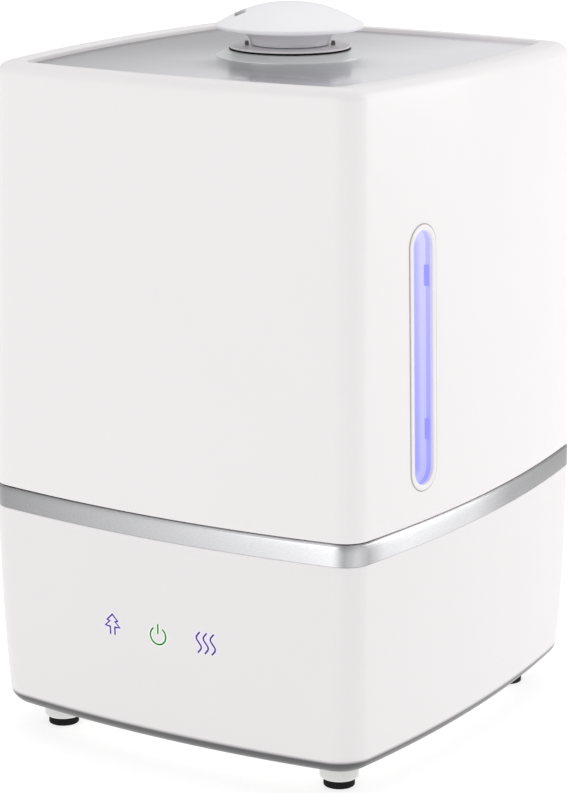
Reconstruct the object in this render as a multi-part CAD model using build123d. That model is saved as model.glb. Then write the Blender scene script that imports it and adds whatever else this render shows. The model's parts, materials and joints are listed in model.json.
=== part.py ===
from build123d import *
import math
import os

os.makedirs("parts", exist_ok=True)

# Ultrasonic cool mist humidifier.  Millimetres, +Z up, the front with the touch icons faces -Y.
# The origin is on the floor, under the mist outlet in the middle of the body.

# ---- driving dimensions: the body seen from above, at the silver band ----
body_width = 185.0              # X, across the middle of the bowed sides
body_depth = 197.0              # Y, across the middle of the bowed front and back
side_bow = 7.75                 # how far the middle of a side stands out past its ends
front_bow = 7.2                 # the same for the front and the back
corner_radius = 11.2            # upright corners

# ---- driving dimensions: heights above the floor ----
boss_bottom = 3.3               # white foot bosses end here, rubber pads stand out below
base_bottom = 11.1
band_bottom = 96.0
band_top = 104.7
tank_bottom = 105.1             # leaves a thin gap line above the band
rim_top = 275.1
deck_top = 273.5                # the deck panel lies a little below the rim

# ---- base ----
base_tuck_in = 2.87             # the base is narrower at its bottom by this on each side
base_bottom_corner = 14.3
base_edge_radius = 6.7
base_wall = 2.4
base_floor = 4.0
cover_inset = 11.5              # bottom cover's edge, in from the body's widest outline
cover_thickness = 2.0
cover_opening_inset = 17.0
vent_reach = 26.5               # intake slots under the fan lie within this radius
vent_pitch = 6.0
vent_width = 3.0
fit_gap = 0.2

# ---- silver band and water basin ----
band_width = 3.0
band_chamfer = 0.8
band_ledge_top = 100.8
band_leg_bottom = 90.0
basin_outer_inset = 4.2
basin_inner_inset = 6.6
basin_top = 104.2
basin_floor_top = 80.4
basin_floor_bottom = 78.0

# ---- mist maker under the basin, left of the centre ----
well_x = -14.0
well_radius = 18.0
well_wall = 2.4
well_floor_top = 66.4
well_floor_bottom = 64.0
disc_radius = 10.0
seal_radius = 12.5
clamp_radius = 17.0
clamp_screw_circle = 14.8
clamp_screw_radius = 1.5
clamp_bottom = 58.0
clamp_bore = 7.0
disc_bottom = 61.0
disc_top = 62.2
seal_bore = 8.0
press_gap = 0.05                # round pieces pushed into holes in the basin

# ---- air tower beside it, fan below ----
tower_x = 18.0
tower_radius = 10.0
tower_bore = 8.3
tower_top = 98.0
fan_x = 38.0
fan_size = 60.0
fan_bottom = 18.1
fan_height = 15.0
fan_bore = 28.5
fan_hole_offset = 25.0
hub_radius = 11.5
blade_count = 7
blade_tip_radius = 27.8

# ---- circuit boards, touch sensors and power socket ----
board_bottom = 20.0
board_thickness = 1.6
board_top = board_bottom + board_thickness
board_hole_inset = 4.0
boards = [(-33.0, 45.0, 70.0, 40.0), (-33.0, -41.0, 70.0, 46.0)]   # power, driver: x, y, sizes
control_back = -86.4
touch_spring_front = -94.6
light_board_top = 68.0
inlet_x = -52.0
inlet_z = 30.0
inlet_radius = 5.5
inlet_face = 94.0

# ---- feet and screws ----
foot_x = 66.4
foot_y = 70.8
boss_radius = 7.7
pad_radius = 6.2
post_x = 44.0
post_y = 71.0
post_bottom = 16.1
pillar_radius = 4.0
cover_screw_radius = 1.5
screw_head_radius = 2.9
screw_head_depth = 2.6
spigot_radius = 2.0
spigot_top = 79.2

# ---- float, light guide, tank valve and cap ----
float_x = -55.0
float_y = 50.0
float_post_radius = 3.2
float_post_top = 93.4
float_top = 87.4
reed_radius = 1.2
reed_top = 90.0
guide_x = 66.0
guide_y = -46.0
guide_radius = 4.0
guide_bottom = 70.2
guide_top = 92.0
guide_flange_bottom = 76.0
cap_y = 64.0
neck_radius = 17.5
neck_bore = 15.5
neck_end = 86.5
cap_radius = 21.0
cap_bottom = 82.6
cap_floor = 2.4                 # thickness of the tank cap's lower wall
cap_top = 94.6
valve_bottom = 82.4
lifter_radius = 3.5              # post on the basin floor that pushes the valve up
lifter_gap = 0.5

# ---- tank ----
tank_draft = 3.24               # each side leans in by this from the tank's bottom to its top
tank_wall = 2.6
tank_edge_radius = 4.5
tank_plate_bottom = 269.5
deck_seat = 272.0
deck_half_x = 77.5
deck_half_y = 86.8
deck_bow_x = 6.55
deck_bow_y = 4.3
deck_corner = 6.0
deck_hole_radius = 18.5
floor_bottom = 95.0
floor_top = 97.4
floor_inset = 7.1
floor_rim_top = 107.6
chimney_radius = 17.8
chimney_bore = 16.2
hood_radius = 39.0
hood_bore = 37.2
hood_bottom = 88.0
cone_low = 101.0                # the hood narrows into the chimney between these heights
cone_high = 133.0

# ---- water window in the right side ----
window_y = -48.0
window_z = 169.0
window_width = 17.0
window_height = 103.3
window_rim = 2.35
window_recess = 3.3
window_tray_wall = 1.2
clip_heights = (-29.0, 31.0)    # above and below the window's middle
clip_width = 1.3

# ---- mist nozzle ----
ring_foot_radius = 29.7         # raised ring on the deck panel
ring_top_radius = 24.6
ring_top = 276.0
flange_radius = 24.4
flange_bottom = 276.75
flange_top = 277.6
flange_edge = 0.35
collar_bore = 13.0
plug_radius = 15.4
plug_bottom = 262.0
lug_angle = 212.0               # two small lugs on the collar, opposite each other
lug_inner = 16.9
lug_outer = 18.6
lug_width = 4.5
lug_top = 279.6
neck_foot = 277.9
neck_flare = [(15.5, neck_foot), (16.4, 280.0), (18.1, 282.2), (21.0, 284.1), (22.2, 284.9)]   # radius, z
neck_bore_radius = 11.4
neck_bottom = 258.5
bead_radius = 13.6
plate_bottom = 284.9
plate_top = 286.1
plate_radius = 27.4
dome_radius = 29.7
dome_rim_bottom = 284.3
dome_rim_top = 285.7
dome_apex = 294.7
dome_wall = 2.0
slot_angle = 212.0              # where the outlet slot points at rest
slot_distance = 19.8
slot_depth = 4.5
slot_width = 15.0
slot_corner = 1.2

# ---- touch icons on the front of the base ----
icon_pitch = 22.0
icon_height = 57.5
icon_stroke = 0.62
icon_columns = (-icon_pitch, 0.0, icon_pitch)
control_screw_x = 31.0
icon_back = 96.8                # the inlays end at this depth behind the front face

half_width = body_width / 2
half_depth = body_depth / 2
base_top = band_bottom
cover_top = base_bottom + cover_thickness
fan_top = fan_bottom + fan_height
FROM_BELOW = (Align.CENTER, Align.CENTER, Align.MIN)


# ---------------------------------------------------------------- shapes used by many pieces

def plan(half_x, half_y, bow_x, bow_y, corner, z):
    """The body's outline seen from above: four bowed sides with rounded corners."""
    end_x = half_x - bow_x
    end_y = half_y - bow_y
    sides = [
        ThreePointArc((end_x, -end_y), (half_x, 0), (end_x, end_y)),
        ThreePointArc((end_x, end_y), (0, half_y), (-end_x, end_y)),
        ThreePointArc((-end_x, end_y), (-half_x, 0), (-end_x, -end_y)),
        ThreePointArc((-end_x, -end_y), (0, -half_y), (end_x, -end_y)),
    ]
    face = make_face(Curve() + sides)
    face = fillet(face.vertices(), corner)
    return Pos(0, 0, z) * face


def inset_plan(inset, z):
    """The outline at the silver band, moved inwards by inset."""
    corner = max(corner_radius - inset, 4.0)
    return plan(half_width - inset, half_depth - inset, side_bow, front_bow, corner, z)


def slab(inset, z_low, z_high):
    return extrude(inset_plan(inset, z_low), z_high - z_low)


def ring(outer_inset, inner_inset, z_low, z_high):
    return slab(outer_inset, z_low, z_high) - slab(inner_inset, z_low, z_high)


def cylinder(radius, z_low, z_high, x=0.0, y=0.0):
    return Pos(x, y, z_low) * Cylinder(radius, z_high - z_low, align=FROM_BELOW)


def tube(outer, inner, z_low, z_high, x=0.0, y=0.0):
    return cylinder(outer, z_low, z_high, x, y) - cylinder(inner, z_low, z_high, x, y)


def block(x_low, x_high, y_low, y_high, z_low, z_high):
    size = (x_high - x_low, y_high - y_low, z_high - z_low)
    return Pos(x_low, y_low, z_low) * Box(*size, align=(Align.MIN, Align.MIN, Align.MIN))


def rod_along_y(radius, x, z, y_low, y_high):
    return Pos(x, y_low, z) * Rot(-90, 0, 0) * Cylinder(radius, y_high - y_low, align=FROM_BELOW)


def spun(*lines):
    """A solid of revolution about the upright axis through the origin."""
    return revolve(make_face(Plane.XZ * (Curve() + list(lines))), Axis.Z)


def polygon_spun(points):
    return spun(Polyline(*points, close=True))


def corners(x, y):
    return [(x, -y), (x, y), (-x, y), (-x, -y)]


# ---------------------------------------------------------------- base housing

def base_block(wall, bottom, edge_radius):
    """The base's bowed body, moved inwards by wall, from bottom up to the band."""
    sections = []
    for z in (bottom, 45.0, 75.0, base_top):
        down = (base_top - z) / (base_top - base_bottom)
        tuck = down * down * base_tuck_in / 0.95 - down * base_tuck_in / 0.95 * 0.05
        corner = corner_radius + (base_bottom_corner - corner_radius) * down * down - wall
        bow = 1.0 - 0.12 * down * down
        half_x = half_width - tuck - wall
        half_y = half_depth - tuck - wall
        sections.append(plan(half_x, half_y, side_bow * bow, front_bow * bow, corner, z))
    body = loft(sections)
    return fillet(body.edges().group_by(Axis.Z)[0], edge_radius)


def icon_lines():
    tree = Polyline((-1.1, -4.1), (-1.1, -0.9), (-3.5, -0.7), (-1.3, 1.4), (-2.6, 1.8), (0, 4.3),
                    (2.6, 1.8), (1.3, 1.4), (3.5, -0.7), (1.1, -0.9), (1.1, -4.1))
    power_ring = CenterArc((0, -0.6), 3.6, 125, 290)
    power_bar = Line((0, 4.2), (0, 0.2))
    mist = [FilletPolyline((x + 0.5, 4.3), (x - 1.5, 1.9), (x + 1.5, -1.9), (x - 0.5, -4.3), radius=1.7)
            for x in (-3.15, 0, 3.15)]
    return {"icon_tree": (-icon_pitch, [tree]),
            "icon_power": (0.0, [power_ring, power_bar]),
            "icon_mist": (icon_pitch, mist)}


def icon_prism(x, lines):
    """The icon's strokes, cut through the front wall to the depth of the inlay."""
    prism = Part()
    for line in lines:
        stroke = make_face(offset(line, amount=icon_stroke / 2, side=Side.BOTH))
        upright = Plane(origin=(x, -icon_back, icon_height), x_dir=(1, 0, 0), z_dir=(0, -1, 0))
        prism = prism + extrude(upright * stroke, 6.0)
    return prism


def control_boss(x):
    return rod_along_y(3.0, x, icon_height, -95.6, -88.0) - rod_along_y(0.9, x, icon_height, -94.0, -87.0)


def make_base_shell(outer, icons):
    shell = outer - base_block(base_wall, base_bottom + base_floor, 4.0)
    shell -= slab(cover_opening_inset, base_bottom - 1, base_bottom + base_floor + 1)
    shell -= slab(cover_inset - fit_gap, base_bottom - 1, cover_top)
    for x in (-control_screw_x, control_screw_x):
        shell += control_boss(x)
    for prism in icons.values():
        shell -= prism
    shell -= rod_along_y(inlet_radius + 0.1, inlet_x, inlet_z, 80.0, 100.0)
    return shell


def make_trim_band():
    top = band_top
    band = slab(0.0, band_bottom, top)
    band = chamfer(band.edges().group_by(Axis.Z)[-1], band_chamfer)
    band -= slab(band_width, band_bottom, top)
    band += ring(band_width, band_width + 1.1, band_bottom, band_ledge_top)
    band += ring(base_wall + 0.1, band_width + 1.1, band_leg_bottom, band_bottom)
    return band


def make_bottom_cover():
    cover = slab(cover_inset, base_bottom, cover_top)
    for x, y in corners(post_x, post_y):
        cover += cylinder(pillar_radius + 1, cover_top, post_bottom, x, y)
        cover -= cylinder(screw_head_radius + 0.3, base_bottom - 1, base_bottom + screw_head_depth, x, y)
        cover -= cylinder(cover_screw_radius + 0.2, base_bottom, post_bottom, x, y)
    half = fan_size / 2
    wall = block(fan_x - half, fan_x + half, -half, half, cover_top, fan_bottom)
    wall -= block(fan_x - half + 1.5, fan_x + half - 1.5, -half + 1.5, half - 1.5, cover_top, fan_bottom)
    cover += wall
    for x, y in corners(fan_hole_offset, fan_hole_offset):
        cover += cylinder(3.2, cover_top, fan_bottom, fan_x + x, y)
        cover -= cylinder(1.4, cover_top + 0.9, fan_bottom, fan_x + x, y)
    for row in range(-4, 5):
        y = row * vent_pitch
        reach = math.sqrt(vent_reach ** 2 - y ** 2)
        slot = extrude(SlotOverall(2 * reach, vent_width), cover_thickness + 2)
        cover -= Pos(fan_x, y, base_bottom - 1) * slot
    for board_x, board_y, size_x, size_y in boards:
        for x, y in corners(size_x / 2 - board_hole_inset, size_y / 2 - board_hole_inset):
            cover += tube(3.0, 1.1, cover_top, board_bottom, board_x + x, board_y + y)
    return cover


def make_cover_screws():
    screws = []
    for x, y in corners(post_x, post_y):
        under = base_bottom + screw_head_depth
        head = cylinder(screw_head_radius, under - 1.8, under, x, y)
        head -= cylinder(1.2, under - 1.8, under - 0.8, x, y)
        screws.append(head + cylinder(cover_screw_radius, under, 27.0, x, y))
    return Compound(children=screws)


def make_foot_bosses():
    """Four short feet bonded under the bottom cover."""
    bosses = []
    for x, y in corners(foot_x, foot_y):
        boss = cylinder(boss_radius, boss_bottom, base_bottom, x, y)
        bosses.append(fillet(boss.edges().group_by(Axis.Z)[0], 1.2))
    return Compound(children=bosses)


def make_foot_pad(x, y):
    """A rubber pad stuck under a foot."""
    pad = cylinder(pad_radius, 0.0, boss_bottom, x, y)
    return fillet(pad.edges().group_by(Axis.Z)[0], 0.5)


# ---------------------------------------------------------------- water basin and what it carries

def make_water_basin():
    """The tray under the tank; its rim rests on the band, its floor takes the well, tower and guide."""
    basin = slab(basin_outer_inset, basin_floor_bottom, basin_top)
    basin -= slab(basin_inner_inset, basin_floor_top, basin_top)
    basin += ring(band_width + 0.1, basin_outer_inset, band_ledge_top, basin_top)
    basin -= cylinder(well_radius + well_wall + press_gap, basin_floor_bottom, basin_floor_top, well_x)
    basin -= cylinder(tower_radius + press_gap, basin_floor_bottom, basin_floor_top, tower_x)
    basin -= cylinder(guide_radius + press_gap, basin_floor_bottom, basin_floor_top, guide_x, guide_y)
    basin += cylinder(float_post_radius, basin_floor_top, float_post_top, float_x, float_y)
    basin -= cylinder(reed_radius + 0.1, basin_floor_bottom, reed_top + 0.5, float_x, float_y)
    basin += cylinder(lifter_radius, basin_floor_top, cap_bottom - lifter_gap, 0.0, cap_y)
    for x, y in corners(post_x, post_y):
        basin -= cylinder(spigot_radius + press_gap, basin_floor_bottom, spigot_top, x, y)
    return basin


def make_mist_well():
    """The cup that holds water over the disc; its flange sits on the basin floor."""
    outer = well_radius + well_wall
    well = cylinder(outer, well_floor_bottom, basin_floor_top, well_x)
    well += cylinder(outer + 1.3, basin_floor_top, basin_floor_top + 1.2, well_x)
    well -= cylinder(well_radius, well_floor_top, basin_floor_top + 1.2, well_x)
    well -= cylinder(seal_bore, well_floor_bottom, well_floor_top, well_x)
    for x, y in clamp_screw_places():
        well -= cylinder(clamp_screw_radius, well_floor_bottom, well_floor_bottom + 1.6, x, y)
    return well


def make_basin_pillars():
    """Four pillars between the bottom cover and the basin; the cover screws run up into them."""
    pillars = []
    for x, y in corners(post_x, post_y):
        pillar = cylinder(pillar_radius, post_bottom, basin_floor_bottom, x, y)
        pillar += cylinder(spigot_radius, basin_floor_bottom, spigot_top, x, y)
        pillars.append(pillar - cylinder(cover_screw_radius, post_bottom, 30.0, x, y))
    return Compound(children=pillars)


def clamp_screw_places():
    places = []
    for turn in (30, 150, 270):
        angle = math.radians(turn)
        places.append((well_x + clamp_screw_circle * math.cos(angle), clamp_screw_circle * math.sin(angle)))
    return places


def make_transducer_clamp():
    clamp = cylinder(clamp_radius, clamp_bottom, well_floor_bottom, well_x)
    clamp -= cylinder(clamp_bore, clamp_bottom, disc_bottom, well_x)
    clamp -= cylinder(seal_radius + 0.1, disc_bottom, well_floor_bottom, well_x)
    for x, y in clamp_screw_places():
        clamp -= cylinder(clamp_screw_radius, clamp_bottom, well_floor_bottom, x, y)
    return clamp


def make_clamp_screws():
    screws = []
    for x, y in clamp_screw_places():
        head = cylinder(2.0, clamp_bottom - 1.8, clamp_bottom, x, y)
        screws.append(head + cylinder(clamp_screw_radius, clamp_bottom, well_floor_bottom + 1.5, x, y))
    return Compound(children=screws)


def make_light_board():
    board = block(guide_x - 11, guide_x + 11, guide_y - 7, guide_y + 7, light_board_top - board_thickness,
                  light_board_top)
    return board + block(guide_x - 1.7, guide_x + 1.7, guide_y - 1.7, guide_y + 1.7, light_board_top,
                         guide_bottom - 0.2)


def make_light_guide():
    """A clear pin through the basin floor, with a flange below it and two legs for the light board."""
    guide = cylinder(guide_radius, guide_bottom, guide_top, guide_x, guide_y)
    guide = fillet(guide.edges().group_by(Axis.Z)[-1], 1.5)
    guide += block(guide_x - 11, guide_x + 11, guide_y - 5.5, guide_y + 5.5, guide_flange_bottom,
                   basin_floor_bottom)
    for side in (-8.5, 8.5):
        guide += cylinder(1.8, light_board_top, guide_flange_bottom, guide_x + side, guide_y)
    return guide


def make_float_ring():
    """The foam ring; a groove in its top holds the magnet."""
    ring_body = tube(10.0, float_post_radius + 0.4, float_top - 6.0, float_top, float_x, float_y)
    return ring_body - tube(7.6, 4.8, float_top - 2.0, float_top, float_x, float_y)


# ---------------------------------------------------------------- fan, duct and electronics

def fan_corners():
    return [(fan_x + x, y) for x, y in corners(fan_hole_offset, fan_hole_offset)]


def make_fan_frame():
    half = fan_size / 2
    square = extrude(Pos(fan_x, 0, fan_bottom) * RectangleRounded(2 * half, 2 * half, 4.0), fan_height)
    frame = square - cylinder(fan_bore, fan_bottom, fan_top, fan_x)
    for turn in (45, 135, 225, 315):
        strut = Pos(fan_x, 0, fan_bottom) * Rot(0, 0, turn) * block(9.0, fan_bore + 1, -1.8, 1.8, 0, 1.6)
        frame += strut
    frame += cylinder(11.0, fan_bottom, fan_bottom + 1.6, fan_x)
    frame += cylinder(4.0, fan_bottom + 1.6, fan_bottom + 10.0, fan_x)
    frame -= cylinder(1.55, fan_bottom + 1.0, fan_bottom + 10.0, fan_x)
    for x, y in fan_corners():
        frame -= cylinder(2.1, fan_bottom, fan_top, x, y)
    return frame


def make_fan_rotor():
    low = fan_bottom + 2.2
    high = fan_top - 1.6
    rotor = cylinder(hub_radius, low, high, fan_x) - cylinder(hub_radius - 1.6, low, high - 1.5, fan_x)
    rotor += cylinder(1.5, fan_bottom + 1.2, high - 1.0, fan_x)
    reach = blade_tip_radius - hub_radius
    for index in range(blade_count):
        blade = Pos(hub_radius + reach / 2 - 0.4, 0, 0) * Rot(38, 0, 0) * Box(reach + 2.4, 12.5, 1.1)
        blade = blade & (cylinder(blade_tip_radius, -20, 20) - cylinder(hub_radius - 0.8, -20, 20))
        turn = Rot(0, 0, index * 360 / blade_count)
        rotor += Pos(fan_x, 0, (low + high) / 2) * turn * blade
    return rotor


def make_fan_screws():
    screws = []
    for x, y in fan_corners():
        head = cylinder(2.6, fan_top + 1.5, fan_top + 3.3, x, y)
        screws.append(head + cylinder(1.4, cover_top + 1.9, fan_top + 1.5, x, y))
    return Compound(children=screws)


def make_air_duct():
    half = fan_size / 2
    flange_top_z = fan_top + 1.5
    flange = extrude(Pos(fan_x, 0, fan_top) * RectangleRounded(2 * half, 2 * half, 4.0), 1.5)
    outer = loft([Pos(fan_x, 0, flange_top_z) * Circle(fan_bore + 1.2),
                  Pos(tower_x, 0, basin_floor_bottom) * Circle(tower_bore + 1.5)])
    inner = loft([Pos(fan_x, 0, flange_top_z) * Circle(fan_bore - 0.3),
                  Pos(tower_x, 0, basin_floor_bottom) * Circle(tower_bore)])
    duct = flange - cylinder(fan_bore - 0.3, fan_top, flange_top_z, fan_x)
    duct += outer - inner
    for x, y in fan_corners():
        duct -= cylinder(1.6, fan_top, flange_top_z, x, y)
    return duct


def make_board(board_x, board_y, size_x, size_y):
    board = block(board_x - size_x / 2, board_x + size_x / 2, board_y - size_y / 2, board_y + size_y / 2,
                  board_bottom, board_top)
    for x, y in corners(size_x / 2 - board_hole_inset, size_y / 2 - board_hole_inset):
        board -= cylinder(1.5, board_bottom, board_top, board_x + x, board_y + y)
    return board


def make_power_board():
    x, y, size_x, size_y = boards[0]
    board = make_board(x, y, size_x, size_y)
    board += cylinder(6.0, board_top, board_top + 18, x - 16, y + 6)
    board += cylinder(4.0, board_top, board_top + 12, x - 2, y + 8)
    board += block(x + 6, x + 22, y - 10, y + 6, board_top, board_top + 11)
    return board + block(x - 20, x - 10, y - 16, y - 8, board_top, board_top + 7)


def make_driver_board():
    x, y, size_x, size_y = boards[1]
    board = make_board(x, y, size_x, size_y)
    board += cylinder(4.5, board_top, board_top + 9, x + 22, y + 8)
    board += block(x + 14, x + 26, y - 14, y - 7, board_top, board_top + 7)
    return board + block(x - 30, x - 22, y + 2, y + 14, board_top, board_top + 7)


def make_board_screws():
    screws = []
    for board_x, board_y, size_x, size_y in boards:
        for x, y in corners(size_x / 2 - board_hole_inset, size_y / 2 - board_hole_inset):
            head = cylinder(2.5, board_top, board_top + 1.6, board_x + x, board_y + y)
            screws.append(head + cylinder(1.1, cover_top + 0.6, board_top, board_x + x, board_y + y))
    return Compound(children=screws)


def make_heat_sink():
    x, y = boards[1][0] - 4, boards[1][1] - 2
    sink = block(x - 15, x + 15, y - 13, y + 13, board_top, board_top + 3)
    for index in range(7):
        fin_y = y - 13 + index * 4.1
        sink += block(x - 15, x + 15, fin_y, fin_y + 1.4, board_top + 3, board_top + 22)
    return sink


def make_control_board():
    board = block(-36, 36, control_back - 1.6, control_back, icon_height - 13, icon_height + 13)
    for x in (-control_screw_x, control_screw_x):
        board -= rod_along_y(1.2, x, icon_height, -90, -84)
    for x in icon_columns:
        board += block(x - 1.6, x + 1.6, control_back - 3.0, control_back - 1.6, icon_height - 1.6,
                       icon_height + 1.6)
    return board


def make_control_screws():
    screws = []
    for x in (-control_screw_x, control_screw_x):
        head = rod_along_y(2.0, x, icon_height, control_back, control_back + 1.5)
        screws.append(head + rod_along_y(0.9, x, icon_height, -93.0, control_back))
    return Compound(children=screws)


def make_touch_springs():
    springs = []
    for x in icon_columns:
        back = control_back - 1.6
        coil = rod_along_y(3.6, x, icon_height, touch_spring_front, back)
        springs.append(coil - rod_along_y(2.9, x, icon_height, touch_spring_front, back))
    return Compound(children=springs)


def make_dc_inlet():
    socket = rod_along_y(inlet_radius, inlet_x, inlet_z, 80.0, inlet_face)
    socket += rod_along_y(8.0, inlet_x, inlet_z, 88.0, 89.8)
    socket -= rod_along_y(3.0, inlet_x, inlet_z, 84.0, inlet_face)
    return socket + rod_along_y(1.0, inlet_x, inlet_z, 83.0, inlet_face - 1.0)


# ---------------------------------------------------------------- tank

def tank_block(wall, z_low, z_high):
    """The tank's leaning body, moved inwards by wall."""
    sections = []
    for z in (z_low, z_high):
        lean = tank_draft * (z - tank_bottom) / (rim_top - tank_bottom)
        scale = 1 - lean / half_width
        sections.append(plan(half_width - lean - wall, half_depth - lean - wall,
                             side_bow * scale, front_bow * scale, corner_radius - wall, z))
    return loft(sections)


def deck_plan(inset, z):
    return plan(deck_half_x - inset, deck_half_y - inset, deck_bow_x, deck_bow_y, deck_corner - inset, z)


def window_frame():
    """Upright plane on the right side wall at the window: local X runs to the back, local Z out."""
    end_y = half_depth - front_bow
    lean = tank_draft * (window_z - tank_bottom) / (rim_top - tank_bottom)
    x = half_width - lean - side_bow * (window_y / end_y) ** 2
    slope = -2 * side_bow * window_y / end_y ** 2
    outwards = Vector(1, -slope, tank_draft / (rim_top - tank_bottom))
    along = Vector(0, 1, 0) - outwards.normalized() * outwards.normalized().Y
    return Plane(origin=(x, window_y, window_z), x_dir=along, z_dir=outwards)


def window_slab(width, height, low, high):
    """A stadium-shaped slab in the window, from low to high along the outward direction."""
    shape = SlotOverall(height, width, rotation=90)
    return extrude(window_frame() * (Pos(0, 0, low) * shape), high - low)


def make_tank_shell():
    shell = tank_block(0.0, tank_bottom, rim_top)
    shell = fillet(shell.edges().group_by(Axis.Z)[-1], tank_edge_radius)
    shell = fillet(shell.edges().group_by(Axis.Z)[0], 0.7)
    shell -= tank_block(tank_wall, tank_bottom, tank_plate_bottom)
    shell -= extrude(deck_plan(0.0, deck_seat), rim_top - deck_seat)
    shell -= cylinder(chimney_radius + 0.1, tank_plate_bottom, deck_seat)
    tray_width = window_width - 2 * window_rim + 2 * window_tray_wall
    tray_height = window_height - 2 * window_rim + 2 * window_tray_wall
    shell -= window_slab(tray_width + 0.2, tray_height + 0.2, -8.0, 3.0)
    shell -= window_slab(window_width + 0.1, window_height + 0.1, -1.0, 3.0)
    return shell


def make_window_lens():
    """A clear tray let into the wall, with two clips on the side wall of its recess."""
    width = window_width - 2 * window_rim
    height = window_height - 2 * window_rim
    outer_width = width + 2 * window_tray_wall
    outer_height = height + 2 * window_tray_wall
    back = -window_recess - 1.6
    lens = window_slab(outer_width, outer_height, back, -1.0)
    lens -= window_slab(width, height, -window_recess, -1.0)
    lens += window_slab(outer_width + 5, outer_height + 5, back - 0.6, back + 0.8)
    return lens


def make_window_clips():
    width = window_width - 2 * window_rim
    clips = []
    for z in clip_heights:
        clip = Box(clip_width, 8.0, 2.2, align=FROM_BELOW)
        clips.append(window_frame() * Pos((width - clip_width) / 2, z, -window_recess) * clip)
    return Compound(children=clips)


def make_window_bezel():
    width = window_width - 2 * window_rim
    height = window_height - 2 * window_rim
    bezel = window_slab(window_width, window_height, -1.0, 0.35)
    bezel = fillet(bezel.edges().group_by(Axis(window_frame().origin, window_frame().z_dir))[-1], 0.3)
    return bezel - window_slab(width, height, -1.5, 1.0)


def make_window_seal():
    width = window_width - 2 * window_rim + 2 * window_tray_wall
    height = window_height - 2 * window_rim + 2 * window_tray_wall
    back = -window_recess - 0.8
    seal = window_slab(width + 5, height + 5, back, -tank_wall - 0.4)
    return seal - window_slab(width + 0.1, height + 0.1, back, -tank_wall)


def make_tank_floor():
    floor = slab(floor_inset, floor_bottom, floor_rim_top)
    floor -= slab(floor_inset + 2.2, floor_top, floor_rim_top)
    floor += ring(tank_wall + 0.15, floor_inset, floor_rim_top - 2.0, floor_rim_top)
    floor -= cylinder(hood_radius + 0.1, floor_bottom, floor_top)
    return floor - cylinder(neck_bore, floor_bottom, floor_top, 0.0, cap_y)


def make_mist_chimney():
    return polygon_spun([
        (hood_bore, hood_bottom), (hood_radius, hood_bottom), (hood_radius, floor_top),
        (hood_radius + 4, floor_top), (hood_radius + 4, floor_top + 2), (hood_radius, floor_top + 2),
        (hood_radius, cone_low), (chimney_radius, cone_high), (chimney_radius, deck_seat),
        (chimney_bore, deck_seat), (chimney_bore, cone_high + 0.6), (hood_bore, cone_low + 0.6)])


def make_deck_panel():
    panel = extrude(deck_plan(0.15, deck_seat), deck_top - deck_seat)
    return panel - cylinder(deck_hole_radius, deck_seat, deck_top)


def make_outlet_ring():
    inner = chimney_bore + 0.1
    hole = deck_hole_radius - 0.1
    return polygon_spun([
        (inner, deck_seat), (hole, deck_seat), (hole, deck_top), (ring_foot_radius, deck_top),
        (ring_foot_radius, deck_top + 0.2), (ring_top_radius, ring_top), (inner, ring_top)])


# ---------------------------------------------------------------- tank cap and valve

def make_tank_cap():
    cap = cylinder(cap_radius, cap_bottom, cap_top, 0, cap_y)
    cap = fillet(cap.edges().group_by(Axis.Z)[0], 1.0)
    cap -= cylinder(neck_radius + 0.3, cap_bottom + cap_floor, cap_top, 0, cap_y)
    for index in range(24):
        rib = Pos(0, cap_y, 0) * Rot(0, 0, index * 15) * block(cap_radius - 0.5, cap_radius + 0.7, -0.7, 0.7,
                                                               cap_bottom + 1.4, 93.6)
        cap += rib
    cap += cylinder(9.5, cap_bottom + cap_floor, 96.0, 0, cap_y)
    cap -= cylinder(8.0, cap_bottom - 1, 94.0, 0, cap_y)
    cap -= cylinder(1.85, 94.0, 96.0, 0, cap_y)
    for index in range(6):
        angle = math.radians(index * 60)
        cap -= cylinder(1.5, 94.0, 96.0, 5.4 * math.cos(angle), cap_y + 5.4 * math.sin(angle))
    return cap


def make_valve_stem():
    stem = cylinder(1.8, valve_bottom, 103.0, 0, cap_y)
    stem += cylinder(5.0, valve_bottom, valve_bottom + 1.6, 0, cap_y)
    return stem + cylinder(5.0, 103.0, 104.4, 0, cap_y)


def make_valve_spring():
    low = valve_bottom + 1.6 + 0.45
    high = 94.0 - 0.45
    coil = Helix(pitch=(high - low) / 4.5, height=high - low, radius=3.4)
    wire = sweep(Plane(origin=coil @ 0, z_dir=coil % 0) * Circle(0.35), path=coil)
    return Pos(0, cap_y, low) * wire


# ---------------------------------------------------------------- nozzle

def make_nozzle_collar():
    collar = polygon_spun([
        (collar_bore, plug_bottom), (plug_radius, plug_bottom), (plug_radius, flange_bottom),
        (flange_radius, flange_bottom), (flange_radius, flange_top - flange_edge),
        (flange_radius - flange_edge, flange_top), (collar_bore, flange_top)])
    for turn in (lug_angle, lug_angle + 180.0):
        lug = block(lug_inner, lug_outer, -lug_width / 2, lug_width / 2, flange_top - 0.2, lug_top)
        collar += Rot(0, 0, turn) * lug
    return collar


def make_nozzle_neck():
    """The turning half of the nozzle; a bead under the collar's bore keeps it in."""
    spigot = collar_bore - 0.05
    return polygon_spun([
        (neck_bore_radius, neck_bottom), (spigot - 0.15, neck_bottom), (bead_radius, plug_bottom - 2.0),
        (bead_radius, plug_bottom - 0.6), (spigot, plug_bottom - 0.2), (spigot, neck_foot),
        *neck_flare, (plate_radius, plate_bottom), (plate_radius, plate_top), (17.0, plate_top),
        (neck_bore_radius, 279.5)])


def dome_line(radius, top, low):
    """The dome's curve from the axis to its rim: level at the top, steepest near the rim."""
    points = []
    for share in (0.0, 0.25, 0.5, 0.75, 1.0):
        fall = 0.62 * share ** 2 + 0.62 * share ** 3 - 0.24 * share ** 5
        points.append((radius * share, top - (top - low) * fall))
    slope = (0.62 * 2 + 0.62 * 3 - 0.24 * 5) * (top - low) / radius
    return Spline(*points, tangents=[(1, 0), (1, -slope)])


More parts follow.
